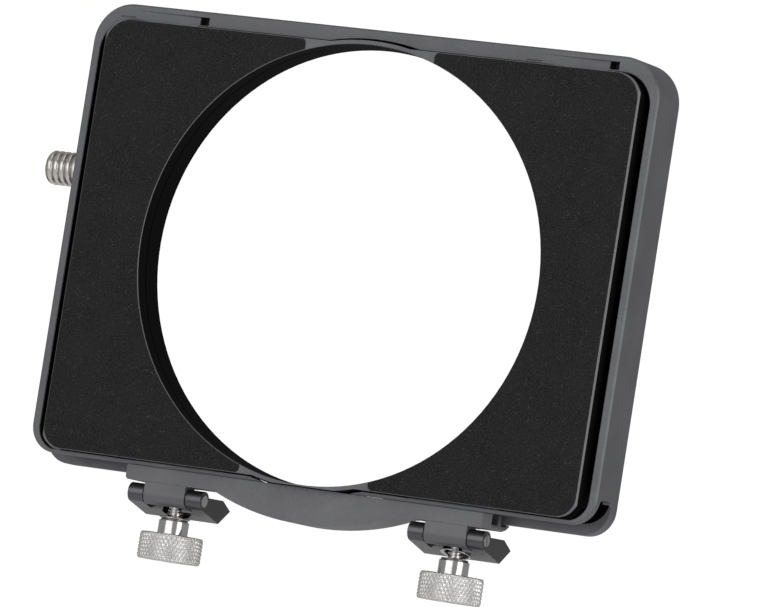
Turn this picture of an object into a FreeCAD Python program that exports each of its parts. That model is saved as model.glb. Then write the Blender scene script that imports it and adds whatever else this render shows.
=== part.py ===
import FreeCAD, Part
import math
import os

# Clip-on lens hood stage: a shallow aluminium frame round an 80 mm opening, a flocked mask tray
# inside it, a rail with two hinged screw clamps below it and a 1/4"-20 stud on its left side.
# Frame of the model: origin on the opening's axis in the plane of the front rim, +X to the right
# seen from the front, +Y from the front towards the lens, +Z up. All sizes are in millimetres.

V = FreeCAD.Vector

# opening and frame
OPENING_R = 40.0
FRAME_HALF_W = 57.0
FRAME_TOP = 43.0
FRAME_DEPTH = 9.2
RIM_BOTTOM = -40.3
REAR_BOTTOM = -41.7
TOP_CORNER_R = 7.5
LOW_CORNER_R = 5.0
SIDE_WALL = 1.6
REAR_WALL_Y = 6.4
SEAT_R = 42.0

# hollow of the frame and its bottom slot
HOLLOW_TOP = 40.1
HOLLOW_BOTTOM = -39.65
HOLLOW_TOP_R = 5.9
HOLLOW_LOW_R = 4.0
RIM_BEVEL = 0.15
SLOT_Y = (1.5, 6.4)
SLOT_TOP = -35.3
RECESS_DEPTH = 2.0

# hook slots in the top rim: length and depth of the wedge-shaped pocket and of the deep notch
HOOK_SLOT_LEFT_ENDS = (-49.0, 33.4)
HOOK_POCKET = (13.0, 0.6)
HOOK_NOTCH = (2.1, 3.0)
HOOK_RELIEF = 3.0
HOOK_TOP = 41.9

# mask tray and its flocked pads
TRAY_HALF_W = 54.2
TRAY_TOP = 39.95
TRAY_BOTTOM = -39.45
TRAY_TOP_R = 5.0
TRAY_LOW_R = 4.0
TRAY_PROUD = 1.5
TRAY_FACE = 1.5
TRAY_CHAMFER = 0.6
TRAY_REAR_BOTTOM = -37.4
SLEEVE_R = 41.2
FLANGE_R = 42.3
LIP = (0.1, 0.15)
SKIRT = 1.3
PAD_THICK = 0.3
PAD_INSET = 0.1
PAD_INNER_R = 40.15
PAD_TIP_X = 13.0
PAD_TIP_R = 0.2

# bottom rail
RAIL_FRONT = 0.8
RAIL_TOP = -40.35
RAIL_BOTTOM = -43.1
RAIL_HALF_W = 36.7
BULGE_R = 46.9
TONGUE_TOP = -37.7

# clamps: hinge axis, jaw, lug and screw, the same for both sides
CLAMP_X = 28.4
HINGE_Y = 2.6
HINGE_Z = -45.2
JAW_HALF_W = 7.45
KNUCKLE_R = 1.75
JAW_TILT = 14.0
JAW_POCKET_R = 2.5
LUG_HALF_W = 4.15
LUG_HALF_D = 1.85
PIN_R = 1.1
SCREW_Y = 6.5
SHANK_R = 1.47
NECK_R = 2.75
HEAD_R = 5.8
RING_TOP = -49.0
RING_THICK = 0.35
RING_R = 2.45
HEAD_TOP = -51.9
HEAD_BOTTOM = -56.8
SHANK_TOP = -40.3
WASHER_R = 2.8
WASHER_THICK = 0.3

# side stud, 1/4"-20
STUD_Y = 5.0
STUD_Z = 11.9
STUD_R = 3.175
STUD_PITCH = 1.27
STUD_LENGTH = 7.1
SPIGOT_R = 2.0

SMALL_GAP = 0.05

# M2 countersunk screws from the rear: (x, z) of each and the depth of its tip
FIXING_R = 1.0
FIXING_HEAD_R = 1.85
FIXING_SOCKET_R = 0.6
TRAY_SCREWS = [(x, z) for x in (-48.5, 48.5) for z in (-31.0, -6.0, 33.0)]
TRAY_SCREW_TIP = 2.7
RAIL_SCREWS = [(x, -39.5) for x in (-33.9, -21.6, 21.6, 33.9)]
RAIL_SCREW_TIP = 3.5


def box(x, y, z):
    """A box between the two values of each pair."""
    return Part.makeBox(x[1] - x[0], y[1] - y[0], z[1] - z[0], V(x[0], y[0], z[0]))


def rod(radius, start, end):
    """A cylinder between two points."""
    way = V(*end) - V(*start)
    return Part.makeCylinder(radius, way.Length, V(*start), way)


def disc(radius, y0, y1):
    """A cylinder on the opening's axis."""
    return rod(radius, (0, y0, 0), (0, y1, 0))


def rounded_outline(half_w, low, high, low_r, top_r, y):
    """A rectangle with rounded corners, low_r below and top_r above, in the plane at y."""

    def line(start, end):
        return Part.makeLine(V(start[0], y, start[1]), V(end[0], y, end[1]))

    def corner(x, z, radius, first_angle):
        points = []
        for step in (0, 45, 90):
            angle = math.radians(first_angle + step)
            points.append(V(x + radius * math.cos(angle), y, z + radius * math.sin(angle)))
        return Part.Arc(*points).toShape()

    edges = [
        line((low_r - half_w, low), (half_w - low_r, low)),
        corner(half_w - low_r, low + low_r, low_r, -90),
        line((half_w, low + low_r), (half_w, high - top_r)),
        corner(half_w - top_r, high - top_r, top_r, 0),
        line((half_w - top_r, high), (top_r - half_w, high)),
        corner(top_r - half_w, high - top_r, top_r, 90),
        line((-half_w, high - top_r), (-half_w, low + low_r)),
        corner(low_r - half_w, low + low_r, low_r, 180),
    ]
    return Part.Wire(edges)


def slab(half_w, low, high, low_r, top_r, y0, y1):
    """A rounded rectangle, thick from y0 to y1."""
    face = Part.Face(rounded_outline(half_w, low, high, low_r, top_r, y0))
    return face.extrude(V(0, y1 - y0, 0))


def flared_slab(half_w, low, high, low_r, top_r, grow, y0, y1):
    """A rounded rectangle at y1 that is larger by grow at y0."""
    wide = rounded_outline(half_w + grow, low - grow, high + grow, low_r + grow, top_r + grow, y0)
    narrow = rounded_outline(half_w, low, high, low_r, top_r, y1)
    return Part.makeLoft([wide, narrow], True)


def prism_x(points, x0, x1):
    """A side outline of (y, z) points, wide from x0 to x1."""
    corners = [V(x0, y, z) for y, z in points]
    face = Part.Face(Part.makePolygon(corners + corners[:1]))
    return face.extrude(V(x1 - x0, 0, 0))


def prism_y(points, y0, y1):
    """A front outline of (x, z) points, deep from y0 to y1."""
    corners = [V(x, y0, z) for x, z in points]
    face = Part.Face(Part.makePolygon(corners + corners[:1]))
    return face.extrude(V(0, y1 - y0, 0))


def prism_z(points, z0, z1):
    """An outline of (x, y) points seen from below, tall from z0 to z1."""
    corners = [V(x, y, z0) for x, y in points]
    face = Part.Face(Part.makePolygon(corners + corners[:1]))
    return face.extrude(V(0, 0, z1 - z0))


def countersunk(x, z, head_r, head_y, tip_y):
    """A 90 degree countersunk head and its shank, along Y from the rear face forwards."""
    head_depth = head_r - FIXING_R
    head = Part.makeCone(head_r, FIXING_R, head_depth, V(x, head_y, z), V(0, -1, 0))
    return head.fuse(rod(FIXING_R, (x, head_y - head_depth, z), (x, tip_y, z)))


def flat_head_screw(x, z, tip_y):
    """A countersunk screw with a socket in its head, just under the rear face."""
    head_y = FRAME_DEPTH - SMALL_GAP
    socket = rod(FIXING_SOCKET_R, (x, head_y, z), (x, head_y - FIXING_SOCKET_R, z))
    return countersunk(x, z, FIXING_HEAD_R, head_y, tip_y).cut(socket)


def flat_head_hole(x, z, tip_y):
    """The hole that a countersunk screw fills."""
    return countersunk(x, z, FIXING_HEAD_R + SMALL_GAP, FRAME_DEPTH, tip_y)


def frame_hollow():
    """The space inside the frame, with its bevelled front edge and room for the tray's sleeve."""
    outline = (FRAME_HALF_W - SIDE_WALL, HOLLOW_BOTTOM, HOLLOW_TOP, HOLLOW_LOW_R, HOLLOW_TOP_R)
    hollow = slab(*outline, -1.0, REAR_WALL_Y)
    bevel = flared_slab(*outline, RIM_BEVEL, 0.0, RIM_BEVEL)
    lower_edge = box((-60, 60), (-1, 1), (-42, HOLLOW_BOTTOM))
    sleeve_room = disc(SLEEVE_R + SMALL_GAP, -1.0, REAR_WALL_Y)
    return hollow.fuse([bevel.cut(lower_edge), sleeve_room])


def bottom_slot():
    """The slot along the bottom edge that turns up both corners and ends rounded."""
    slot = box((-60, 60), SLOT_Y, (-45, SLOT_TOP))
    ends = [edge for edge in slot.Edges
            if abs(edge.BoundBox.ZMin - SLOT_TOP) < 1e-6 and edge.BoundBox.XLength > 100]
    return slot.makeFillet(1.0, ends)


def corner_recesses():
    """Blind recesses in the rear wall, behind the two upturned ends of the bottom slot."""
    inside = slab(FRAME_HALF_W - 0.25, HOLLOW_BOTTOM, HOLLOW_TOP, LOW_CORNER_R - 0.25, TOP_CORNER_R,
                  REAR_WALL_Y - 0.1, REAR_WALL_Y + RECESS_DEPTH)
    left = box((-60, -50.5), (0, 9), (HOLLOW_BOTTOM, SLOT_TOP))
    right = box((50.5, 60), (0, 9), (HOLLOW_BOTTOM, SLOT_TOP))
    return inside.common(left.fuse(right))


def hook_slot(left_end):
    """One hook slot: a pocket that deepens to the right, a deep entry notch and a thin relief."""
    length, depth = HOOK_POCKET
    notch_w, notch_depth = HOOK_NOTCH
    right_end = left_end + length
    wedge = [(left_end, 0), (right_end, depth), (right_end, -1), (left_end, -1)]
    pocket = prism_z(wedge, HOLLOW_TOP - 0.5, HOOK_TOP)
    notch = box((right_end, right_end + notch_w), (-1, notch_depth), (HOLLOW_TOP + 0.3, HOOK_TOP))
    relief = box((left_end - HOOK_RELIEF, left_end), (-1, 0.3), (HOLLOW_TOP + 0.3, HOLLOW_TOP + 0.55))
    return pocket.fuse([notch, relief])


def boss_room():
    """Notches in the frame's rear wall that take the rail's two screw bosses."""
    rooms = [box((side * CLAMP_X - 3.0, side * CLAMP_X + 3.0), (6.0, 8.8), (-45, TONGUE_TOP + 0.1))
             for side in (-1, 1)]
    return rooms[0].fuse(rooms[1])


def frame_body():
    """The main frame: side and top walls, rear wall with the lens seat, and the front rim."""
    front = slab(FRAME_HALF_W, RIM_BOTTOM, FRAME_TOP, LOW_CORNER_R, TOP_CORNER_R, 0.3, REAR_WALL_Y)
    front_edge = flared_slab(FRAME_HALF_W - 0.3, RIM_BOTTOM + 0.3, FRAME_TOP - 0.3,
                             LOW_CORNER_R - 0.3, TOP_CORNER_R - 0.3, 0.3, 0.3, 0.0)
    rear = slab(FRAME_HALF_W, REAR_BOTTOM, FRAME_TOP, LOW_CORNER_R, TOP_CORNER_R,
                REAR_WALL_Y, FRAME_DEPTH)
    stud_boss = box((-FRAME_HALF_W + 1.0, -50.6), (TRAY_FACE + 0.2, REAR_WALL_Y),
                    (STUD_Z - 4.5, STUD_Z + 4.5))
    body = front.fuse([front_edge, rear]).cut(frame_hollow()).fuse(stud_boss)
    holes = [disc(SEAT_R, REAR_WALL_Y - 0.1, FRAME_DEPTH + 1), bottom_slot(), corner_recesses()]
    holes.append(boss_room())
    holes += [hook_slot(end) for end in HOOK_SLOT_LEFT_ENDS]
    holes += [flat_head_hole(x, z, REAR_WALL_Y - 1.0) for x, z in TRAY_SCREWS + RAIL_SCREWS]
    holes.append(rod(SPIGOT_R + 0.9, (-60, STUD_Y, STUD_Z), (-50, STUD_Y, STUD_Z)))
    return body.cut(holes).removeSplitter()


def tray_outline(y0, y1):
    """The tray's front outline, with the ring round the opening that overlaps the top rim."""
    plate = slab(TRAY_HALF_W, TRAY_BOTTOM, TRAY_TOP, TRAY_LOW_R, TRAY_TOP_R, y0, y1)
    ring = disc(OPENING_R + 0.75, y0, y1)
    below = box((-60, 60), (y0 - 1, y1 + 1), (-60, RAIL_TOP + 0.1))
    return plate.fuse(ring).cut(below)


def tray_chamfer(side):
    """The wedge that is taken off one side edge of the tray's raised face."""
    inner = side * (TRAY_HALF_W - TRAY_CHAMFER - 0.1)
    outer = side * (TRAY_HALF_W + 0.1)
    front = -TRAY_PROUD - 0.1
    wedge = [(inner, front), (outer, front), (outer, front + TRAY_CHAMFER + 0.2)]
    return prism_z(wedge, TRAY_BOTTOM - 1, TRAY_TOP + 1)


def mask_tray():
    """The flock carrier: a raised face, a flanged sleeve round the opening, a skirt and posts."""
    face = tray_outline(-TRAY_PROUD, TRAY_FACE)
    outer = slab(TRAY_HALF_W, TRAY_REAR_BOTTOM, TRAY_TOP, TRAY_LOW_R, TRAY_TOP_R, TRAY_FACE, REAR_WALL_Y)
    inner = slab(TRAY_HALF_W - SKIRT, TRAY_REAR_BOTTOM + SKIRT, TRAY_TOP - SKIRT, TRAY_LOW_R - SKIRT,
                 TRAY_TOP_R - SKIRT, TRAY_FACE, REAR_WALL_Y + 1)
    sleeve = disc(SLEEVE_R, RAIL_FRONT + 1.0, REAR_WALL_Y)
    flange = disc(FLANGE_R, REAR_WALL_Y - 0.6, REAR_WALL_Y)
    flange = flange.common(box((-60, 60), (0, 9), (TRAY_BOTTOM, TRAY_TOP)))
    posts = [rod(2.4, (x, TRAY_FACE, z), (x, REAR_WALL_Y, z)) for x, z in TRAY_SCREWS]
    tray = face.fuse([outer.cut(inner), sleeve, flange] + posts)
    lip, lip_depth = LIP
    mouth = Part.makeCone(OPENING_R + lip, OPENING_R, lip_depth, V(0, -TRAY_PROUD, 0), V(0, 1, 0))
    stud_room = box((-TRAY_HALF_W - 1, -50.3), (TRAY_FACE + 0.1, 7), (STUD_Z - 4.8, STUD_Z + 4.8))
    cuts = [disc(OPENING_R, -3, 8), mouth, stud_room, tray_chamfer(-1), tray_chamfer(1)]
    cuts += [rod(FIXING_R, (x, TRAY_SCREW_TIP - 0.1, z), (x, 7, z)) for x, z in TRAY_SCREWS]
    return tray.cut(cuts).removeSplitter()


def flock_pad(side):
    """One flocked pad: it covers the tray's face from the opening to the outer edge."""
    y0 = -TRAY_PROUD - PAD_THICK
    y1 = -TRAY_PROUD
    pad = slab(TRAY_HALF_W - TRAY_CHAMFER, TRAY_BOTTOM + PAD_INSET, TRAY_TOP - PAD_INSET,
               TRAY_LOW_R - PAD_INSET, TRAY_TOP_R - PAD_INSET, y0, y1)
    tip = side * PAD_TIP_X
    other_half = box(sorted((tip, -side * 60)), (-5, 5), (-60, 60))
    pad = pad.cut([disc(PAD_INNER_R, -5, 5), other_half])
    tips = [edge for edge in pad.Edges
            if edge.BoundBox.XLength + edge.BoundBox.ZLength < 1e-6
            and abs(edge.BoundBox.XMin - tip) < 1e-3]
    return pad.makeFillet(PAD_TIP_R, tips)


def rail_blank():
    """The rail's front outline carried through its depth, with a round bulge in the middle."""
    right = [(RAIL_HALF_W - 0.4, RAIL_BOTTOM), (RAIL_HALF_W, RAIL_BOTTOM + 0.4),
             (RAIL_HALF_W, RAIL_TOP)]
    left = [(-x, z) for x, z in reversed(right)]
    bar = prism_y(right + left, RAIL_FRONT, FRAME_DEPTH)
    keep = box((-30, 30), (RAIL_FRONT - 1, FRAME_DEPTH + 1), (-50, RAIL_TOP - 0.5))
    bulge = disc(BULGE_R, RAIL_FRONT, FRAME_DEPTH).common(keep)
    return bar.fuse(bulge)


def rail_tongue(side):
    """A tongue that stands in the frame's bottom slot, with the boss of the thumb screw."""
    near = 19.8
    far = 35.6
    tongue = box(sorted((side * near, side * far)), (RAIL_FRONT + 1.0, REAR_WALL_Y - SMALL_GAP),
                 (RAIL_TOP - 0.2, TONGUE_TOP))
    boss = box((side * CLAMP_X - 2.9, side * CLAMP_X + 2.9), (RAIL_FRONT + 1.0, 8.7),
               (RAIL_BOTTOM, TONGUE_TOP))
    return tongue.fuse(boss)


def bottom_rail():
    """The rail: front wall, floor, middle web, bulge round the seat, and two tongues."""
    rail = rail_blank()
    back = REAR_WALL_Y - SMALL_GAP
    cuts = [
        disc(SLEEVE_R + SMALL_GAP, RAIL_FRONT + 0.9, REAR_WALL_Y + 0.1),
        disc(SEAT_R, REAR_WALL_Y, FRAME_DEPTH + 1),
        box((-60, 60), (back, FRAME_DEPTH + 1), (REAR_BOTTOM - SMALL_GAP, -30)),
    ]
    facet = [(RAIL_HALF_W - 1.5, RAIL_FRONT), (RAIL_HALF_W, RAIL_FRONT), (RAIL_HALF_W, RAIL_FRONT + 0.9)]
    cuts.append(prism_z(facet, RAIL_BOTTOM - 1, RAIL_TOP + 1))
    for side in (-1, 1):
        end = sorted((side * 33.0, side * (RAIL_HALF_W + 1)))
        cuts.append(box(end, (RAIL_FRONT + 0.9, 4.5), (-42.2, -40)))
        cuts.append(box(end, (5.7, 8.0), (-42.2, -40)))
        chamfer = [(7.1, RAIL_BOTTOM - 0.05), (FRAME_DEPTH + 0.1, -41.95), (FRAME_DEPTH + 0.1, -44)]
        cuts.append(prism_x(chamfer, *sorted((side * 19.0, side * (RAIL_HALF_W + 1)))))
    rail = rail.cut(cuts)
    rail = rail.fuse([rail_tongue(-1), rail_tongue(1)])
    holes = [rod(FIXING_R, (x, RAIL_SCREW_TIP - 0.1, z), (x, FRAME_DEPTH, z)) for x, z in RAIL_SCREWS]
    for side in (-1, 1):
        x = side * CLAMP_X
        holes.append(rod(1.95, (x, SCREW_Y, -50), (x, SCREW_Y, -30)))
        holes.append(rod(1.0, (x, HINGE_Y, RAIL_BOTTOM - 1), (x, HINGE_Y, RAIL_BOTTOM + 1.6)))
    return rail.cut(holes).removeSplitter()


def hinge_lug(side):
    """The fixed centre knuckle of a clamp, held to the rail by a spigot."""
    x0 = side * CLAMP_X - LUG_HALF_W
    x1 = side * CLAMP_X + LUG_HALF_W
    block = box((x0, x1), (HINGE_Y - LUG_HALF_D, HINGE_Y + LUG_HALF_D), (HINGE_Z, RAIL_BOTTOM))
    barrel = rod(LUG_HALF_D, (x0, HINGE_Y, HINGE_Z), (x1, HINGE_Y, HINGE_Z))
    spigot = rod(1.0, (side * CLAMP_X, HINGE_Y, RAIL_BOTTOM), (side * CLAMP_X, HINGE_Y, RAIL_BOTTOM + 1.5))
    hole = rod(PIN_R, (x0 - 1, HINGE_Y, HINGE_Z), (x1 + 1, HINGE_Y, HINGE_Z))
    return block.fuse([barrel, spigot]).cut(hole).removeSplitter()


def tilted(distance, y):
    """Height of a line under the hinge, parallel to the jaw's underside, at depth y."""
    angle = math.radians(JAW_TILT)
    return HINGE_Z - (distance + math.sin(angle) * (y - HINGE_Y)) / math.cos(angle)


def jaw_underside(side):
    """The point of the jaw's underside over the thumb screw, and the way down from it."""
    angle = math.radians(JAW_TILT)
    base = V(side * CLAMP_X, SCREW_Y, tilted(KNUCKLE_R, SCREW_Y))
    return base, V(0, -math.sin(angle), -math.cos(angle))


def jaw(side):
    """A clamp jaw: two outer knuckles, a slotted plate and a V nose that points to the rear."""
    angle = math.radians(JAW_TILT)
    x0 = side * CLAMP_X - JAW_HALF_W
    x1 = side * CLAMP_X + JAW_HALF_W
    heel = (HINGE_Y - KNUCKLE_R * math.sin(angle), HINGE_Z - KNUCKLE_R * math.cos(angle))
    outline = [heel, (9.3, tilted(KNUCKLE_R, 9.3)), (13.3, -46.0), (9.95, -44.35), (4.0, -44.45),
               (HINGE_Y, HINGE_Z)]
    body = prism_x(outline, x0, x1).fuse(rod(KNUCKLE_R, (x0, HINGE_Y, HINGE_Z), (x1, HINGE_Y, HINGE_Z)))
    middle = side * CLAMP_X
    lug_room = box((middle - LUG_HALF_W - 0.25, middle + LUG_HALF_W + 0.25), (0, 4.95), (-50, -40))
    slot = box((middle - 1.65, middle + 1.65), (4.0, 6.6), (-50, -40))
    slot_end = rod(1.65, (middle, 6.6, -50), (middle, 6.6, -40))
    pin_hole = rod(PIN_R + 0.05, (x0 - 1, HINGE_Y, HINGE_Z), (x1 + 1, HINGE_Y, HINGE_Z))
    base, down = jaw_underside(side)
    pocket = Part.makeCylinder(JAW_POCKET_R, 2.2, base - down * 1.2, down)
    return body.cut([lug_room, slot, slot_end, pin_hole, pocket]).removeSplitter()


def hinge_pin(side):
    """The hinge pin, with a screwdriver slot in its outer end."""
    inner = side * (CLAMP_X - JAW_HALF_W - 0.1)
    outer = side * (CLAMP_X + JAW_HALF_W + 0.1)
    pin = rod(PIN_R, (inner, HINGE_Y, HINGE_Z), (outer, HINGE_Y, HINGE_Z))
    ends = sorted((outer - side * 0.4, outer + side))
    slot = box(ends, (HINGE_Y - 0.2, HINGE_Y + 0.2), (HINGE_Z - 2, HINGE_Z + 2))
    slot.rotate(V(outer, HINGE_Y, HINGE_Z), V(1, 0, 0), 15)
    return pin.cut(slot)


def jaw_washer(side):
    """The slotted washer between ring and jaw: tilted against the right jaw, flat on the left ring."""
    x = side * CLAMP_X
    if side < 0:
        washer = rod(WASHER_R, (x, SCREW_Y, RING_TOP), (x, SCREW_Y, RING_TOP + WASHER_THICK))
    else:
        base, down = jaw_underside(side)
        washer = Part.makeCylinder(WASHER_R, WASHER_THICK, base, down)
    slot = box((x - 1.65, x + 1.65), (5.75, 6.6), (-52, -45))
    ends = [rod(1.65, (x, y, -52), (x, y, -45)) for y in (5.75, 6.6)]
    return washer.cut([slot] + ends)


def thrust_ring(side):
    """The flat ring between the thumb screw's neck and the jaw's washer."""
    x = side * CLAMP_X
    ring = rod(RING_R, (x, SCREW_Y, RING_TOP - RING_THICK), (x, SCREW_Y, RING_TOP))
    hole = rod(SHANK_R + 0.06, (x, SCREW_Y, RING_TOP - 2), (x, SCREW_Y, RING_TOP + 2))
    return ring.cut(hole)


def thumb_screw(side):
    """A thumb screw in one piece: head, neck and shank, with a small hollow in the head's end."""
    x = side * CLAMP_X

    def upright(radius, low, high):
        return rod(radius, (x, SCREW_Y, low), (x, SCREW_Y, high))

    neck_top = RING_TOP - RING_THICK
    head = upright(HEAD_R, HEAD_BOTTOM, HEAD_TOP)
    rims = [edge for edge in head.Edges if edge.BoundBox.ZLength < 1e-6]
    head = head.makeChamfer(0.35, rims)
    hollow = upright(3.2, HEAD_BOTTOM - 1, HEAD_BOTTOM + 0.6)
    screw = head.fuse([upright(NECK_R, HEAD_TOP, neck_top), upright(SHANK_R, neck_top, SHANK_TOP)])
    return screw.cut(hollow).removeSplitter()


def thread_insert(side):
    """The threaded bush that the thumb screw turns in, pressed into the rail's boss."""
    x = side * CLAMP_X
    bush = rod(1.95, (x, SCREW_Y, RAIL_BOTTOM + 0.05), (x, SCREW_Y, TONGUE_TOP))
    return bush.cut(rod(SHANK_R + 0.05, (x, SCREW_Y, -50), (x, SCREW_Y, -30)))


def side_stud():
    """The stud on the left side: ridges at the thread's pitch, a flat socket end and a spigot."""
    start = -FRAME_HALF_W
    end = start - STUD_LENGTH
    root_r = STUD_R - 0.7
    stud = rod(root_r, (start, STUD_Y, STUD_Z), (end, STUD_Y, STUD_Z))
    half = STUD_PITCH / 2
    turns = int((STUD_LENGTH - 0.4) / STUD_PITCH)
    ridges = []
    for turn in range(turns):
        x = start - 0.3 - turn * STUD_PITCH
        ridges.append(Part.makeCone(root_r, STUD_R, half - 0.08, V(x, STUD_Y, STUD_Z), V(-1, 0, 0)))
        crest = x - half + 0.08
        ridges.append(rod(STUD_R, (crest, STUD_Y, STUD_Z), (crest - 0.16, STUD_Y, STUD_Z)))
        ridges.append(Part.makeCone(STUD_R, root_r, half - 0.08, V(crest - 0.16, STUD_Y, STUD_Z),
                                    V(-1, 0, 0)))
    spigot = rod(SPIGOT_R, (start, STUD_Y, STUD_Z), (-51.0, STUD_Y, STUD_Z))
    socket = rod(1.0, (end - 1, STUD_Y, STUD_Z), (end + 1.4, STUD_Y, STUD_Z))
    return stud.fuse(ridges + [spigot]).cut(socket).removeSplitter()


def stud_insert():
    """The steel bush in the frame's side wall that holds the stud."""
    bush = rod(SPIGOT_R + 0.9, (-56.9, STUD_Y, STUD_Z), (-50.8, STUD_Y, STUD_Z))
    return bush.cut(rod(SPIGOT_R, (-60, STUD_Y, STUD_Z), (-50, STUD_Y, STUD_Z)))


def save(name, shape):
    """Write one piece as a STEP file."""
    shape.exportStep("parts/" + name + ".step")


def build():
    os.makedirs("parts", exist_ok=True)
    save("frame_body", frame_body())
    save("mask_tray", mask_tray())
    save("bottom_rail", bottom_rail())
    save("side_stud", side_stud())
    save("stud_insert", stud_insert())
    tray_screws = [flat_head_screw(x, z, TRAY_SCREW_TIP) for x, z in TRAY_SCREWS]
    rail_screws = [flat_head_screw(x, z, RAIL_SCREW_TIP) for x, z in RAIL_SCREWS]
    save("tray_screws", Part.makeCompound(tray_screws))
    save("rail_screws", Part.makeCompound(rail_screws))
    for name, side in (("left", -1), ("right", 1)):
        save("flock_pad_" + name, flock_pad(side))
        save("hinge_lug_" + name, hinge_lug(side))
        save("clamp_jaw_" + name, jaw(side))
        save("hinge_pin_" + name, hinge_pin(side))
        save("jaw_washer_" + name, jaw_washer(side))
        save("thrust_ring_" + name, thrust_ring(side))
        save("thumb_screw_" + name, thumb_screw(side))
        save("thread_insert_" + name, thread_insert(side))


build()
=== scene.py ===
import math
import random

import bpy
from mathutils import Matrix, Vector, noise


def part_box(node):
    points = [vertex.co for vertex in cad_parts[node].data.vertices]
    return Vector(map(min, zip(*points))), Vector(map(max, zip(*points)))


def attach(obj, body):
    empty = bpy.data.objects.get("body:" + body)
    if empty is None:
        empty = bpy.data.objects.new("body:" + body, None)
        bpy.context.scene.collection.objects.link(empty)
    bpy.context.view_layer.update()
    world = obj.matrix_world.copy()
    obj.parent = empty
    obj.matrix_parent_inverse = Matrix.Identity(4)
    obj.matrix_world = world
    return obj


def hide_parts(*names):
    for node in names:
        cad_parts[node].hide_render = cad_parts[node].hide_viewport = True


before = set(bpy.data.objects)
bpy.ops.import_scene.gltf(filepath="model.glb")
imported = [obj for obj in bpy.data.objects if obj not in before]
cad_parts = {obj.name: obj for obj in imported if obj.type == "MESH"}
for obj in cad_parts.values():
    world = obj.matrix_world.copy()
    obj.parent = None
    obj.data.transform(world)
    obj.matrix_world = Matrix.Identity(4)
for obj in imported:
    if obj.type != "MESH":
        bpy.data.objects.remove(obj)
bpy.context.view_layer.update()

# Sizes are in metres, written as millimetres times MM.
MM = 0.001
TURN = 2 * math.pi
SIDES = ("left", "right")

# camera: where it stands round the origin, its roll, and how far it aims beside the origin
CAMERA_AZIMUTH = math.radians(26.57)
CAMERA_ELEVATION = math.radians(-3.83)
CAMERA_ROLL = math.radians(8.92)
CAMERA_DISTANCE = 1309.6 * MM
CAMERA_AIM_RIGHT = 7.1 * MM
CAMERA_AIM_DOWN = 6.8 * MM
CAMERA_LENS = 346.3

# studio
FLOOR_DEPTH = 0.9
FLOOR_SIZE = 9.0
FLOOR_LEVEL = 0.8
FLOOR_GLOW = 0.22
ROOM_LIGHT = 0.25
BACKDROP = 1.03

# frame: outline of its hollow, which is black from the rim's bevel to the back, partly for a black
# inner finish and partly as painted shade in the groove. Behind the front of the rear wall the black
# reaches further out, into the corner recesses, as painted shade.
HOLLOW_HALF_W = 55.4 * MM
HOLLOW_LOW = -39.65 * MM
HOLLOW_HIGH = 40.1 * MM
HOLLOW_CORNER_R = 4.0 * MM
HOLLOW_FRONT = 0.14 * MM
HOLLOW_BACK = 9.1 * MM
REAR_WALL = 6.43 * MM
HOLLOW_REACH = 0.04 * MM
RECESS_SHADE_REACH = 1.42 * MM

# hook notches in the frame's top rim, which are darkened inside by half: painted shade
NOTCH_LOW = HOLLOW_HIGH + 0.1 * MM
NOTCH_HIGH = 41.95 * MM
NOTCH_FRONT = 0.62 * MM
NOTCH_HALF_SPREAD = 50 * MM
NOTCH_PAINTED_SHADE = 0.5

# tray: the wall of its opening is black behind the lip, and all of it behind the chamfer's outer half;
# the black from the chamfer's middle back is painted shade, on the chamfer and in the groove
OPENING_WALL_R = 40.05 * MM
LIP_BACK = -1.36 * MM
CHAMFER_MIDDLE = -1.2 * MM

# flock pads
PAD_EDGE = 0.22 * MM
PAD_TOP_R = 4.8 * MM
PAD_LOW_R = 3.8 * MM
PAD_OPENING_R = 40.12 * MM
PAD_TIP_R = 0.9 * MM
PAD_ROWS = 190
PAD_COLUMNS = 90
PAD_NAP = 0.035 * MM
LINT_FIBRES = 420

# thumb screw: heights above the head's lower face
HEAD_HEIGHT = 4.9 * MM
HEAD_CHAMFER = 0.3 * MM
HOLLOW_R = 3.2 * MM
HOLLOW_DEPTH = 0.6 * MM
NECK_R = 2.75 * MM
NECK_TOP = 7.45 * MM
SHANK_R = 1.47 * MM
SHANK_PITCH = 0.5 * MM
SHANK_SEGMENTS = 64
SHANK_THREAD_DEPTH = 0.27 * MM
KNURL_COUNT = 46
KNURL_ANGLE = math.radians(30)
KNURL_DEPTH = 0.26 * MM
KNURL_FLAT = 0.82
KNURL_STEPS = 8

# washers on the thumb screws
COLLAR_BORE_R = 1.65 * MM
COLLAR_SLOT = (-0.75 * MM, 0.1 * MM)
COLLAR_R = 2.8 * MM
COLLAR_THICKNESS = 0.3 * MM
COLLAR_SEGMENTS = 96
COLLAR_RIM_STEPS = 8

# side stud, a 1/4 inch 20 thread
STUD_R = 3.175 * MM
STUD_LENGTH = 7.1 * MM
STUD_PITCH = 1.27 * MM
STUD_SEGMENTS = 96
STUD_THREAD_DEPTH = 0.42 * MM
STUD_SOCKET_R = 1.0 * MM
STUD_SPIGOT_R = 2.0 * MM


# ---------------------------------------------------------------- materials

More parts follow.
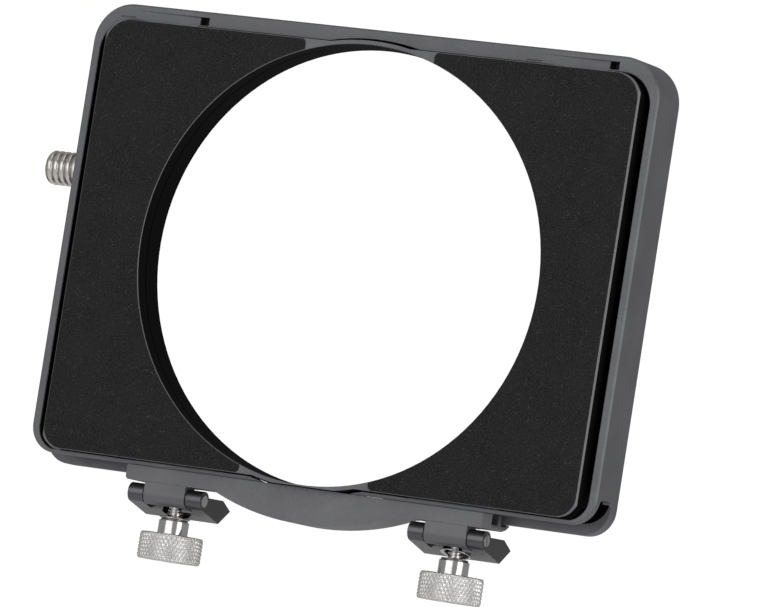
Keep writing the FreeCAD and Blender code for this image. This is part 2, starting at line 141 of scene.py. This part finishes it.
class Material:
    """A node material with its Principled shader, and short calls for the nodes that it uses."""

    def __init__(self, name):
        self.data = bpy.data.materials.new(name)
        self.data.use_nodes = True
        self.nodes = self.data.node_tree.nodes
        self.links = self.data.node_tree.links
        self.shader = self.nodes["Principled BSDF"]
        self.place = self.add("ShaderNodeTexCoord").outputs["Object"]

    def add(self, kind, **values):
        """A new node; each value sets an input of that name, or a property of the node."""
        node = self.nodes.new(kind)
        for key, value in values.items():
            if hasattr(node, key):
                setattr(node, key, value)
            else:
                self.feed(node.inputs[key.replace("_", " ")], value)
        return node

    def feed(self, socket, value):
        """Set a socket to a value, or link an output to it."""
        if isinstance(value, bpy.types.NodeSocket):
            self.links.new(value, socket)
        else:
            socket.default_value = value

    def noise(self, size, detail=3.0, place=None):
        """Noise between 0 and 1 whose features are about that size."""
        node = self.add("ShaderNodeTexNoise", Scale=1.0 / size, Detail=detail,
                        Vector=place or self.place)
        return node.outputs["Fac"]

    def cells(self, size):
        """A random value for each cell of about that size."""
        node = self.add("ShaderNodeTexVoronoi", Scale=1.0 / size, Vector=self.place)
        split = self.add("ShaderNodeSeparateColor", Color=node.outputs["Color"])
        return split.outputs["Red"]

    def stretched(self, x, y, z):
        """The place with each axis scaled, for grain that runs one way."""
        node = self.add("ShaderNodeMapping", Scale=(x, y, z), Vector=self.place)
        return node.outputs["Vector"]

    def spread(self, value, low, high, to_low=0.0, to_high=1.0):
        """Map low..high to to_low..to_high, held at the ends."""
        node = self.add("ShaderNodeMapRange", Value=value, From_Min=low, From_Max=high,
                        To_Min=to_low, To_Max=to_high)
        return node.outputs["Result"]

    def math(self, operation, first, second=0.0):
        """One step of arithmetic."""
        node = self.add("ShaderNodeMath", operation=operation)
        self.feed(node.inputs[0], first)
        self.feed(node.inputs[1], second)
        return node.outputs["Value"]

    def axes(self):
        """The place split into x, y and z."""
        node = self.add("ShaderNodeSeparateXYZ", Vector=self.place)
        return node.outputs["X"], node.outputs["Y"], node.outputs["Z"]

    def length(self, x, z):
        """Length of a vector in the x and z plane."""
        flat = self.add("ShaderNodeCombineXYZ", X=x, Z=z)
        node = self.add("ShaderNodeVectorMath", operation="LENGTH")
        self.links.new(flat.outputs["Vector"], node.inputs[0])
        return node.outputs["Value"]

    def mix(self, factor, first, second):
        """A colour between two colours."""
        node = self.add("ShaderNodeMix", data_type="RGBA")
        self.feed(node.inputs["Factor"], factor)
        colours = [socket for socket in node.inputs if socket.type == "RGBA"]
        self.feed(colours[0], first)
        self.feed(colours[1], second)
        return [socket for socket in node.outputs if socket.type == "RGBA"][0]

    def edges(self, radius):
        """How close a point is to a sharp edge: 0 on a face, 1 at the edge."""
        rounded = self.add("ShaderNodeBevel", samples=6, Radius=radius).outputs["Normal"]
        flat = self.add("ShaderNodeNewGeometry").outputs["Normal"]
        dot = self.add("ShaderNodeVectorMath", operation="DOT_PRODUCT")
        self.feed(dot.inputs[0], rounded)
        self.feed(dot.inputs[1], flat)
        return self.spread(dot.outputs["Value"], 0.995, 0.87)

    def bump(self, height, distance, strength=1.0, soft_edge=0.0):
        """Surface relief from a height, over edges that are rounded by soft_edge."""
        node = self.add("ShaderNodeBump", Strength=strength, Distance=distance, Height=height)
        if soft_edge:
            rounded = self.add("ShaderNodeBevel", samples=6, Radius=soft_edge)
            self.links.new(rounded.outputs["Normal"], node.inputs["Normal"])
        self.links.new(node.outputs["Normal"], self.shader.inputs["Normal"])

    def set(self, **values):
        """Set inputs of the shader by name."""
        for key, value in values.items():
            self.feed(self.shader.inputs[key.replace("_", " ")], value)


def grey(level, warmth=0.0):
    """A grey with a little warmth."""
    return (level * (1 + warmth), level, level * (1 - warmth), 1.0)


def anodised(name, level, roughness, metallic, wear=0.5, grain=0.07 * MM, black=None):
    """Bead-blasted, anodised aluminium: fine grain, faint clouds, paler rubbed edges.

    black may give a function that marks surfaces coloured near-black: partly a black inner finish,
    partly painted shade in the groove, the rear-wall recesses, the hook notches and on the tray's edge.
    Those surfaces are duller, not metallic and reflect less."""
    made = Material(name)
    clouds = made.noise(9 * MM, 4.0)
    speckle = made.noise(grain, 2.0)
    shade = made.spread(clouds, 0.3, 0.7, level * 0.86, level * 1.04)
    speckled = made.math("MULTIPLY", shade, made.spread(speckle, 0.25, 0.75, 0.86, 1.14))
    body = made.add("ShaderNodeCombineColor", Red=made.math("MULTIPLY", speckled, 0.99),
                    Green=speckled, Blue=made.math("MULTIPLY", speckled, 1.05)).outputs["Color"]
    patches = made.spread(made.noise(1.1 * MM, 5.0), 0.42, 0.62)
    rub = made.math("MULTIPLY", made.math("MULTIPLY", made.edges(0.16 * MM), patches), wear)
    colour = made.mix(rub, body, grey(level * 2.0 + 0.03))
    dull = made.spread(made.noise(0.6 * MM, 3.0), 0.3, 0.7, roughness - 0.05, roughness + 0.05)
    shine = metallic
    if black:
        # The marked surfaces turn near-black: partly a black inner finish, partly painted shade.
        black_finish_and_shade = black(made)
        colour = made.mix(black_finish_and_shade, colour, grey(0.001))
        dull = made.math("MAXIMUM", dull, made.math("MULTIPLY", black_finish_and_shade, 0.85))
        shine = made.spread(black_finish_and_shade, 0.0, 1.0, metallic, 0.0)
        made.set(Specular_IOR_Level=0.12)
    made.set(Base_Color=colour, Roughness=dull, Metallic=shine)
    made.bump(speckle, 0.012 * MM, 0.55, soft_edge=0.1 * MM)
    return made.data


def frame_inside(made):
    """Marks the frame's hollow, the recesses in its rear wall and the deep hook notches.

    The hollow is near-black partly for a black inner finish and partly as painted shade in the groove;
    the recesses and the notches are painted shade.
    """
    x, y, z = made.axes()
    middle = (HOLLOW_LOW + HOLLOW_HIGH) / 2
    half_h = (HOLLOW_HIGH - HOLLOW_LOW) / 2
    across = made.math("SUBTRACT", made.math("ABSOLUTE", x), HOLLOW_HALF_W - HOLLOW_CORNER_R)
    along = made.math("ABSOLUTE", made.math("SUBTRACT", z, middle))
    along = made.math("SUBTRACT", along, half_h - HOLLOW_CORNER_R)
    distance = made.length(made.math("MAXIMUM", across, 0.0), made.math("MAXIMUM", along, 0.0))
    # Behind the rear wall's front the mark reaches further out: painted shade in the corner recesses.
    reach = made.spread(y, REAR_WALL, REAR_WALL + 0.01 * MM, HOLLOW_REACH, RECESS_SHADE_REACH)
    outside = made.math("SUBTRACT", made.math("SUBTRACT", distance, HOLLOW_CORNER_R), reach)
    inside = made.math("LESS_THAN", outside, 0.0)
    behind_bevel = made.math("GREATER_THAN", y, HOLLOW_FRONT)
    before_back = made.math("LESS_THAN", y, HOLLOW_BACK)
    hollow = made.math("MULTIPLY", inside, made.math("MULTIPLY", behind_bevel, before_back))
    # The deep hook notches are darkened by half: painted shade.
    above = made.math("GREATER_THAN", z, NOTCH_LOW)
    below_top = made.math("LESS_THAN", z, NOTCH_HIGH)
    deep = made.math("GREATER_THAN", y, NOTCH_FRONT)
    off_corners = made.math("LESS_THAN", made.math("ABSOLUTE", x), NOTCH_HALF_SPREAD)
    notch = made.math("MULTIPLY", made.math("MULTIPLY", above, below_top), deep)
    notch_painted_shade = made.math("MULTIPLY", made.math("MULTIPLY", notch, off_corners), NOTCH_PAINTED_SHADE)
    return made.math("MAXIMUM", hollow, notch_painted_shade)


def tray_inside(made):
    """Marks the wall of the opening behind its lip, and the tray behind its chamfer's middle, as painted
    shade.
    """
    x, y, z = made.axes()
    near_wall = made.math("LESS_THAN", made.length(x, z), OPENING_WALL_R)
    behind_lip = made.math("GREATER_THAN", y, LIP_BACK)
    wall = made.math("MULTIPLY", near_wall, behind_lip)
    # Behind the chamfer's middle the tray turns near-black: painted shade.
    return made.math("MAXIMUM", wall, made.math("GREATER_THAN", y, CHAMFER_MIDDLE))


def flock():
    """Short black velvet: dull and mottled, with a fine nap and scattered paler fibre ends."""
    made = Material("black_flock")
    nap = made.noise(0.3 * MM, 4.0)
    mottle = made.spread(made.noise(0.9 * MM, 4.0), 0.3, 0.7)
    drift = made.spread(made.noise(6 * MM, 3.0), 0.35, 0.7)
    base = made.mix(made.spread(nap, 0.3, 0.7), grey(0.007), grey(0.046))
    base = made.mix(made.math("MULTIPLY", mottle, 0.4), base, grey(0.030))
    base = made.mix(made.math("MULTIPLY", drift, 0.3), base, grey(0.04))
    ends = made.spread(made.cells(0.17 * MM), 0.93, 0.99)
    patches = made.spread(made.noise(1.6 * MM, 2.0), 0.42, 0.68)
    base = made.mix(made.math("MULTIPLY", ends, patches), base, grey(0.10, 0.03))
    made.set(Base_Color=base, Roughness=1.0, Specular_IOR_Level=0.08)
    made.set(Sheen_Weight=0.06, Sheen_Roughness=0.45)
    made.bump(nap, 0.1 * MM, 0.8)
    return made.data


def lint():
    """Stray fibres that lie on the flock."""
    made = Material("lint")
    made.set(Base_Color=made.mix(made.noise(0.5 * MM), grey(0.05), grey(0.16, 0.04)))
    made.set(Roughness=made.spread(made.noise(0.2 * MM), 0.3, 0.7, 0.6, 0.9))
    return made.data


def turned_steel(name, level, warmth, axis, roughness=0.2, grain=0.05 * MM, shaded_valleys=None,
                 polish=None):
    """Stainless steel turned on a lathe, with fine rings round its axis.

    A centre line and two radii may be given, between which the grooves are darkened: painted shade.
    polish gives the height above which the steel is polished."""
    made = Material(name)
    scale = [0.0 if letter != axis else 1.0 for letter in "XYZ"]
    rings = made.noise(grain, 4.0, made.stretched(*scale))
    smears = made.noise(0.8 * MM, 4.0)
    smeared = grey(level * 0.86, warmth * 1.6)
    clean = made.mix(made.spread(smears, 0.3, 0.75), grey(level, warmth), smeared)
    if shaded_valleys:
        centre, low, high = shaded_valleys
        offset = made.add("ShaderNodeVectorMath", operation="SUBTRACT")
        made.links.new(made.place, offset.inputs[0])
        offset.inputs[1].default_value = centre
        across = made.add("ShaderNodeVectorMath", operation="MULTIPLY")
        made.links.new(offset.outputs["Vector"], across.inputs[0])
        across.inputs[1].default_value = [1.0 - part for part in scale]
        length = made.add("ShaderNodeVectorMath", operation="LENGTH")
        made.links.new(across.outputs["Vector"], length.inputs[0])
        # Grooves between these radii are darkened towards the root: painted shade.
        groove_shade = made.spread(length.outputs["Value"], high, low, 0.0, 0.85)
        clean = made.mix(groove_shade, clean, grey(level * 0.2, warmth))
    made.set(Base_Color=clean)
    made.set(Metallic=1.0)
    dull = made.spread(smears, 0.3, 0.7, roughness - 0.03, roughness + 0.06)
    if polish:
        height = made.axes()[2]
        dull = made.math("MULTIPLY", dull, made.spread(height, polish, polish + 0.05 * MM, 1.0, 0.4))
    made.set(Roughness=dull)
    made.bump(rings, 0.004 * MM, 0.6, soft_edge=0.06 * MM)
    return made.data


def black_oxide():
    """Blackened screw steel, slightly oily, with rubbed edges."""
    made = Material("black_steel")
    patches = made.noise(0.5 * MM, 4.0)
    rub = made.math("MULTIPLY", made.edges(0.1 * MM), made.spread(patches, 0.35, 0.6))
    made.set(Base_Color=made.mix(rub, grey(0.028), grey(0.3)))
    made.set(Metallic=0.7)
    made.set(Roughness=made.spread(patches, 0.3, 0.7, 0.28, 0.42))
    made.bump(made.noise(0.08 * MM), 0.006 * MM, 0.5, soft_edge=0.06 * MM)
    return made.data


# ---------------------------------------------------------------- mesh helpers

def new_piece(name, vertices, faces, material, body, sharp_angle=35.0):
    """A mesh object that rides on a body and takes its finish from a slot."""
    mesh = bpy.data.meshes.new(name)
    mesh.from_pydata(vertices, [], faces)
    mesh.validate()
    mesh.polygons.foreach_set("use_smooth", [True] * len(mesh.polygons))
    mesh.set_sharp_from_angle(angle=math.radians(sharp_angle))
    mesh.materials.append(material)
    piece = bpy.data.objects.new(name, mesh)
    bpy.context.scene.collection.objects.link(piece)
    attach(piece, body)
    return piece


def revolve(rows, segments, start=0):
    """Vertices and faces of a closed turned surface.

    Each row is (radius, height), where radius may be a function of the angle and the height. The
    first and last row close to a point on the axis. Faces are numbered from start."""
    vertices = [(0.0, 0.0, rows[0][1])]
    for radius, height in rows:
        for step in range(segments):
            angle = TURN * step / segments
            r = radius(angle, height) if callable(radius) else radius
            vertices.append((r * math.cos(angle), r * math.sin(angle), height))
    vertices.append((0.0, 0.0, rows[-1][1]))
    faces = []
    last = len(vertices) - 1
    for step in range(segments):
        after = (step + 1) % segments
        faces.append((0, 1 + after, 1 + step))
        for row in range(len(rows) - 1):
            low = 1 + row * segments
            high = low + segments
            faces.append((low + step, low + after, high + after, high + step))
        top = 1 + (len(rows) - 1) * segments
        faces.append((top + step, top + after, last))
    return vertices, [tuple(start + index for index in face) for face in faces]


def spaced(low, high, count):
    """count + 1 even steps from low to high, both included."""
    return [low + (high - low) * step / count for step in range(count + 1)]


def saw(value):
    """A triangle wave: 1 at whole numbers, 0 halfway between."""
    return abs(2.0 * (value - math.floor(value)) - 1.0)


def thread_radius(crest, depth, pitch, roundness):
    """Radius of a screw thread; a larger roundness gives broader crests and narrower grooves."""

    def radius(angle, height):
        wave = saw(height / pitch - angle / TURN)
        return crest - depth * (1.0 - wave) ** roundness

    return radius


# ---------------------------------------------------------------- thumb screws

def knurl_radius(head_r):
    """Radius of the head's side: pyramids left by two families of V grooves."""
    pitch = TURN * head_r / KNURL_COUNT
    rise = pitch / math.tan(KNURL_ANGLE)

    def radius(angle, height):
        turn = KNURL_COUNT * angle / TURN
        ridge = min(saw(turn + height / rise), saw(turn - height / rise))
        ridge = min(ridge, KNURL_FLAT) / KNURL_FLAT
        to_end = min(height, HEAD_HEIGHT - height)
        bevel = max(0.0, HEAD_CHAMFER - to_end)
        return min(head_r - KNURL_DEPTH * (1.0 - ridge), head_r - bevel)

    return radius, rise


def head_rows(head_r):
    """Rows of the head and its neck, from the hollow in the lower face to the neck's top."""
    side, rise = knurl_radius(head_r)
    fillet = 0.12 * MM
    rows = [(HOLLOW_R * 0.5, HOLLOW_DEPTH), (HOLLOW_R - fillet, HOLLOW_DEPTH)]
    rows += [(HOLLOW_R, HOLLOW_DEPTH - fillet), (HOLLOW_R, fillet * 0.6), (HOLLOW_R + fillet * 0.6, 0.0)]
    rows += [((HOLLOW_R + head_r) / 2, 0.0)]
    steps = round(HEAD_HEIGHT / (rise / KNURL_STEPS))
    rows += [(side, height) for height in spaced(0.0, HEAD_HEIGHT, steps)]
    rows += [((NECK_R + head_r) / 2, HEAD_HEIGHT), (NECK_R + 2 * fillet, HEAD_HEIGHT)]
    rows += [(NECK_R + fillet * 0.5, HEAD_HEIGHT + fillet * 0.5), (NECK_R, HEAD_HEIGHT + 2 * fillet)]
    rows += [(NECK_R, (HEAD_HEIGHT + NECK_TOP) / 2), (NECK_R, NECK_TOP - fillet)]
    rows += [(NECK_R - fillet, NECK_TOP), (SHANK_R * 0.8, NECK_TOP)]
    return rows


def shank_rows(top):
    """Rows of the threaded shank, from inside the neck to its pointed tip."""
    crest = thread_radius(SHANK_R, SHANK_THREAD_DEPTH, SHANK_PITCH, 1.0)
    relief = NECK_TOP + 0.35 * MM
    root = SHANK_R - SHANK_THREAD_DEPTH
    rows = [(root, NECK_TOP - 0.3 * MM), (root, relief)]
    steps = round((top - 0.3 * MM - relief) / (SHANK_PITCH / 8))
    rows += [(crest, height) for height in spaced(relief + 0.03 * MM, top - 0.3 * MM, steps)]
    rows += [(root - 0.1 * MM, top), (root * 0.5, top)]
    return rows


def thumb_screw(side, material):
    """A knurled thumb screw in place of the plain one, in one piece with its threaded shank."""
    node = "thumb_screw_" + side
    low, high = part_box(node)
    head_r = (high.x - low.x) / 2
    vertices, faces = revolve(head_rows(head_r), KNURL_COUNT * KNURL_STEPS)
    more_vertices, more_faces = revolve(shank_rows(high.z - low.z), SHANK_SEGMENTS, start=len(vertices))
    foot = Vector(((low.x + high.x) / 2, (low.y + high.y) / 2, low.z))
    placed = [foot + Vector(vertex) for vertex in vertices + more_vertices]
    screw = new_piece("knurled_screw_" + side, placed, faces + more_faces, material,
                      "screw_" + side, sharp_angle=28.0)
    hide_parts(node)


def slot_radius(angle):
    """Radius of the washer's slot, which is longer towards the front of the object."""
    front, rear = COLLAR_SLOT
    across = max(abs(math.cos(angle)), 1e-6)
    along = COLLAR_BORE_R * math.sin(angle) / across
    if front < along < rear:
        return COLLAR_BORE_R / across
    end = front if along < front else rear
    return end * math.sin(angle) + math.sqrt(COLLAR_BORE_R ** 2 - (end * across) ** 2)


def collar_profile(inner):
    """Section of a washer with rounded rims, as (radius, height) points of a closed loop."""
    bead = COLLAR_THICKNESS / 2
    points = []
    for centre, first in ((COLLAR_R - bead, -90), (inner + bead, 90)):
        for step in range(COLLAR_RIM_STEPS + 1):
            angle = math.radians(first + 180 * step / COLLAR_RIM_STEPS)
            points.append((centre + bead * math.cos(angle), bead * math.sin(angle)))
    return points


def collar(name, node, body, material):
    """A slotted washer with rounded rims, tilted about X as the plain one that it replaces."""
    low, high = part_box(node)
    centre = (low + high) / 2
    rise = high.z - low.z
    slope = math.asin(max(0.0, rise - COLLAR_THICKNESS) / (high.x - low.x))
    turn = Matrix.Rotation(-slope, 3, "X")
    vertices = []
    faces = []
    for step in range(COLLAR_SEGMENTS):
        angle = TURN * step / COLLAR_SEGMENTS
        profile = collar_profile(slot_radius(angle))
        for radius, height in profile:
            spot = Vector((radius * math.cos(angle), radius * math.sin(angle), height))
            vertices.append(centre + turn @ spot)
    count = len(profile)
    for step in range(COLLAR_SEGMENTS):
        here = step * count
        after = (step + 1) % COLLAR_SEGMENTS * count
        for point in range(count):
            following = (point + 1) % count
            faces.append((here + point, after + point, after + following, here + following))
    piece = new_piece(name, vertices, faces, material, body, sharp_angle=60.0)
    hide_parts(node)


# ---------------------------------------------------------------- side stud

def stud_rows(length, spigot):
    """Rows of the stud, from the socket in its free end to the spigot in the frame."""
    thread = thread_radius(STUD_R, STUD_THREAD_DEPTH, STUD_PITCH, 3.0)
    root = STUD_R - STUD_THREAD_DEPTH

    def lead_in(angle, height):
        return min(thread(angle, height), root - 0.25 * MM + math.sqrt(height * 0.7 * MM))

    socket = STUD_SOCKET_R * 1.25
    rows = [(socket * 0.6, 1.1 * MM), (socket, 1.0 * MM), (socket, 0.08 * MM), (socket + 0.1 * MM, 0.0)]
    rows += [(root - 0.3 * MM, 0.0)]
    steps = round((length - 0.1 * MM) / (STUD_PITCH / 20))
    rows += [(lead_in, height) for height in spaced(0.06 * MM, length - 0.02 * MM, steps)]
    rows += [(root, length), (STUD_SPIGOT_R, length + 0.02 * MM), (STUD_SPIGOT_R, length + spigot)]
    rows += [(STUD_SPIGOT_R * 0.5, length + spigot)]
    return rows


def side_stud(material):
    """The stud with a real helical thread, in place of the ridged one."""
    low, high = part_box("side_stud")
    length = STUD_LENGTH
    spigot = high.x - low.x - length
    vertices, faces = revolve(stud_rows(length, spigot), STUD_SEGMENTS)
    tip = Vector((low.x, (low.y + high.y) / 2, (low.z + high.z) / 2))
    to_frame = Matrix(((0, 0, 1), (0, 1, 0), (-1, 0, 0)))
    placed = [tip + to_frame @ Vector(vertex) for vertex in vertices]
    stud = new_piece("threaded_stud", placed, faces, material, "frame", sharp_angle=50.0)
    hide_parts("side_stud")


# ---------------------------------------------------------------- flocked pads

class Pad:
    """The outline of one flocked pad, seen from the front, in x away from the middle and z."""

    def __init__(self, side):
        low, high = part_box("flock_pad_" + side)
        self.sign = 1 if side == "right" else -1
        self.tip = min(abs(low.x), abs(high.x))
        self.outer = max(abs(low.x), abs(high.x))
        self.low = low.z
        self.high = high.z
        self.face = low.y
        self.back = high.y

    def outer_x(self, z):
        """The outer edge at height z, round at both corners."""
        radius = PAD_TOP_R if z > 0 else PAD_LOW_R
        into = max(z - (self.high - radius), (self.low + radius) - z, 0.0)
        return self.outer - radius + math.sqrt(max(radius ** 2 - into ** 2, 0.0))

    def inner_x(self, z):
        """The inner edge at height z: the opening's arc, then the blunt rounded tip."""
        arc = math.sqrt(max(PAD_OPENING_R ** 2 - z ** 2, 0.0))
        into = max(z - (self.high - PAD_TIP_R), (self.low + PAD_TIP_R) - z, 0.0)
        blunt = self.tip + PAD_TIP_R - math.sqrt(max(PAD_TIP_R ** 2 - into ** 2, 0.0))
        return max(arc, blunt)

    def point(self, x, z, thickness):
        """A point of the pad in the row frame."""
        return Vector((self.sign * x, self.back - thickness, z))


def eased(count):
    """Steps from 0 to 1 that crowd together at both ends."""
    return [0.5 - 0.5 * math.cos(math.pi * step / count) for step in range(count + 1)]


def nap_height(x, z):
    """Uneven lie of the flock: broad waves and fine tufts."""
    broad = noise.noise(Vector((x / (3.0 * MM), z / (3.0 * MM), 1.7)))
    fine = noise.noise(Vector((x / (0.9 * MM), z / (0.9 * MM), 6.2)))
    return PAD_NAP * (0.6 * broad + 0.5 * fine)


def flock_pad(side, material):
    """A velvet pad with a rolled edge and an uneven nap, in place of the plain one."""
    pad = Pad(side)
    thickness = pad.back - pad.face
    heights = [pad.low + (pad.high - pad.low) * part for part in eased(PAD_ROWS)]
    columns = eased(PAD_COLUMNS)
    vertices = []
    for z in heights:
        inner, outer = pad.inner_x(z), pad.outer_x(z)
        for part in columns:
            x = inner + (outer - inner) * part
            to_edge = max(0.0, min(x - inner, outer - x, z - pad.low, pad.high - z))
            roll = 1.0 - min(to_edge / PAD_EDGE, 1.0)
            rise = thickness * 0.9 * math.sqrt(1.0 - roll ** 2)
            vertices.append(pad.point(x, z, rise + nap_height(x, z) * (1.0 - roll)))
    width = PAD_COLUMNS + 1
    faces = []
    for row in range(PAD_ROWS):
        for column in range(PAD_COLUMNS):
            first = row * width + column
            face = (first, first + 1, first + width + 1, first + width)
            faces.append(face if pad.sign > 0 else face[::-1])
    bottom = list(range(width))
    right = [row * width + PAD_COLUMNS for row in range(1, PAD_ROWS + 1)]
    top = [PAD_ROWS * width + column for column in range(PAD_COLUMNS - 1, -1, -1)]
    left = [row * width for row in range(PAD_ROWS - 1, 0, -1)]
    rim = bottom + right + top + left
    faces.append(tuple(rim[::-1] if pad.sign > 0 else rim))
    piece = new_piece("velvet_pad_" + side, vertices, faces, material, "frame",
                      sharp_angle=80.0)
    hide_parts("flock_pad_" + side)


def fibre(vertices, faces, start, heading, length, radius, dice):
    """Add one stray fibre: a thin bent strand with a three-sided section."""
    place = Vector(start)
    rings = []
    for _ in range(5):
        side = Vector((-math.sin(heading), 0.0, math.cos(heading)))
        first = len(vertices)
        ridge = place + Vector((0.0, -1.6 * radius, 0.0))
        vertices += [place + side * radius, place - side * radius, ridge]
        rings.append(first)
        heading += dice.uniform(-0.5, 0.5)
        place = place + Vector((math.cos(heading), 0.0, math.sin(heading))) * (length / 4)
    for low, high in zip(rings, rings[1:]):
        for edge in range(3):
            after = (edge + 1) % 3
            faces.append((low + edge, low + after, high + after, high + edge))
    faces.append((rings[0] + 2, rings[0] + 1, rings[0]))
    faces.append((rings[-1], rings[-1] + 1, rings[-1] + 2))


def pad_lint(side, material):
    """Fibres caught on one pad."""
    pad = Pad(side)
    dice = random.Random(11 if side == "left" else 12)
    thickness = pad.back - pad.face
    vertices = []
    faces = []
    for _ in range(LINT_FIBRES):
        z = dice.uniform(pad.low + 1 * MM, pad.high - 1 * MM)
        x = dice.uniform(pad.inner_x(z) + 1 * MM, pad.outer_x(z) - 1 * MM)
        start = pad.point(x, z, thickness * 0.93)
        length = dice.uniform(0.15, 0.4) * MM
        heading = dice.uniform(0, TURN)
        radius = dice.uniform(0.007, 0.013) * MM
        fibre(vertices, faces, start, heading, length, radius, dice)
    new_piece("lint_" + side, vertices, faces, material, "frame")


# ---------------------------------------------------------------- studio

def studio_floor():
    """A plain pale floor below the object, with a faint glow of its own that fills its shadows."""
    half = FLOOR_SIZE / 2
    mesh = bpy.data.meshes.new("floor")
    corners = [(-half, -half, -FLOOR_DEPTH), (half, -half, -FLOOR_DEPTH),
               (half, half, -FLOOR_DEPTH), (-half, half, -FLOOR_DEPTH)]
    mesh.from_pydata(corners, [], [(0, 1, 2, 3)])
    made = Material("floor_paint")
    made.set(Base_Color=grey(FLOOR_LEVEL))
    made.set(Roughness=0.8)
    made.set(Emission_Color=grey(1.0), Emission_Strength=FLOOR_GLOW)
    mesh.materials.append(made.data)
    floor = bpy.data.objects.new("floor", mesh)
    bpy.context.scene.collection.objects.link(floor)


def softbox(name, azimuth, elevation, distance, width, height, power):
    """A large soft area light that faces the origin."""
    light = bpy.data.lights.new(name, "AREA")
    light.shape = "RECTANGLE"
    light.size = width
    light.size_y = height
    light.energy = power
    lamp = bpy.data.objects.new(name, light)
    turn = math.radians(azimuth)
    lift = math.radians(elevation)
    back = Vector((math.sin(turn) * math.cos(lift), -math.cos(turn) * math.cos(lift), math.sin(lift)))
    lamp.location = back * distance
    lamp.rotation_mode = "QUATERNION"
    lamp.rotation_quaternion = back.to_track_quat("Z", "Y")
    lamp.visible_camera = False
    bpy.context.scene.collection.objects.link(lamp)


def studio_world():
    """White all round for the eye, and an even grey room for the light that it gives."""
    world = bpy.data.worlds.new("studio")
    world.use_nodes = True
    nodes = world.node_tree.nodes
    links = world.node_tree.links
    nodes.clear()
    seen = nodes.new("ShaderNodeBackground")
    seen.inputs["Color"].default_value = (1, 1, 1, 1)
    seen.inputs["Strength"].default_value = BACKDROP
    room = nodes.new("ShaderNodeBackground")
    room.inputs["Color"].default_value = (1, 1, 1, 1)
    room.inputs["Strength"].default_value = ROOM_LIGHT
    path = nodes.new("ShaderNodeLightPath")
    mix = nodes.new("ShaderNodeMixShader")
    output = nodes.new("ShaderNodeOutputWorld")
    links.new(path.outputs["Is Camera Ray"], mix.inputs["Fac"])
    links.new(room.outputs["Background"], mix.inputs[1])
    links.new(seen.outputs["Background"], mix.inputs[2])
    links.new(mix.outputs["Shader"], output.inputs["Surface"])
    bpy.context.scene.world = world


def studio():
    """Pale floor, white room and soft lights: one ahead, one to the right and one above."""
    studio_floor()
    studio_world()
    softbox("key_light", -11, 12, 1.3, 1.3, 1.1, 4.5)
    softbox("right_light", 74, 8, 1.3, 0.9, 1.1, 5.5)
    softbox("top_light", 10, 75, 1.3, 1.0, 1.0, 1.6)
    view = bpy.context.scene.view_settings
    view.view_transform = "Standard"
    view.look = "None"


def camera():
    """The camera, placed round the origin, rolled, and aimed a little beside it."""
    level = math.cos(CAMERA_ELEVATION)
    back = Vector((math.sin(CAMERA_AZIMUTH) * level, -math.cos(CAMERA_AZIMUTH) * level,
                   math.sin(CAMERA_ELEVATION)))
    place = back * CAMERA_DISTANCE
    right = Vector((0, 0, 1)).cross(back).normalized()
    up = back.cross(right)
    tilted_right = right * math.cos(CAMERA_ROLL) + up * math.sin(CAMERA_ROLL)
    tilted_up = up * math.cos(CAMERA_ROLL) - right * math.sin(CAMERA_ROLL)
    target = tilted_right * CAMERA_AIM_RIGHT - tilted_up * CAMERA_AIM_DOWN
    back = (place - target).normalized()
    tilted_right = tilted_up.cross(back).normalized()
    tilted_up = back.cross(tilted_right)
    data = bpy.data.cameras.new("camera")
    data.lens = CAMERA_LENS
    data.sensor_width = 36.0
    data.clip_start = 0.05
    data.clip_end = 20.0
    eye = bpy.data.objects.new("camera", data)
    axes = Matrix((tilted_right, tilted_up, back)).transposed()
    eye.matrix_world = Matrix.Translation(place) @ axes.to_4x4()
    bpy.context.scene.collection.objects.link(eye)
    bpy.context.scene.camera = eye


# ---------------------------------------------------------------- the object

def dress(material, *nodes):
    """Give CAD nodes a material in place of their plain one."""
    for node in nodes:
        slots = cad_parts[node].material_slots
        for slot in slots:
            slot.material = material


def both(name):
    """The left and the right node of a pair."""
    return [name + "_" + side for side in SIDES]


def main():
    grey_finish = anodised("grey_anodised", 0.19, 0.42, 0.45)
    frame_finish = anodised("frame_anodised", 0.19, 0.42, 0.45, black=frame_inside)
    tray_finish = anodised("tray_anodised", 0.19, 0.42, 0.45, black=tray_inside)
    jaw_finish = anodised("black_anodised", 0.145, 0.25, 0.9, wear=0.25)
    bright = turned_steel("stainless_pins", 0.72, 0.015, "X", 0.2)
    bright_upright = turned_steel("stainless_rings", 0.75, 0.015, "Z", 0.18)
    dress(frame_finish, "frame_body")
    dress(grey_finish, "bottom_rail", *both("hinge_lug"))
    dress(tray_finish, "mask_tray")
    dress(jaw_finish, *both("clamp_jaw"))
    dress(bright, "stud_insert", *both("hinge_pin"))
    # A dark steel on the thrust rings: painted shade for the shadow line under the washers.
    dress(turned_steel("thrust_ring_shade_steel", 0.2, 0.02, "Z", 0.35), *both("thrust_ring"))
    dress(turned_steel("insert_steel", 0.5, 0.02, "Z", 0.3), *both("thread_insert"))
    dress(black_oxide(), "tray_screws", "rail_screws")
    head_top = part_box("thumb_screw_left")[0].z + HEAD_HEIGHT
    knurled = turned_steel("stainless_knurled", 0.86, 0.01, "Z", 0.36, polish=head_top)
    velvet = flock()
    stray = lint()
    for side in SIDES:
        thumb_screw(side, knurled)
        flock_pad(side, velvet)
        pad_lint(side, stray)
    collar("round_washer_left", "jaw_washer_left", "ring_left", bright_upright)
    collar("round_washer_right", "jaw_washer_right", "jaw_right", bright_upright)
    low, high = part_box("side_stud")
    axis = (low + high) / 2
    # The stud's thread grooves are darkened: painted shade.
    stud_groove_shade = (axis, STUD_R - STUD_THREAD_DEPTH, STUD_R - 0.45 * STUD_THREAD_DEPTH)
    side_stud(turned_steel("stainless_stud", 0.82, 0.035, "X", 0.27, shaded_valleys=stud_groove_shade))
    camera()
    studio()


main()
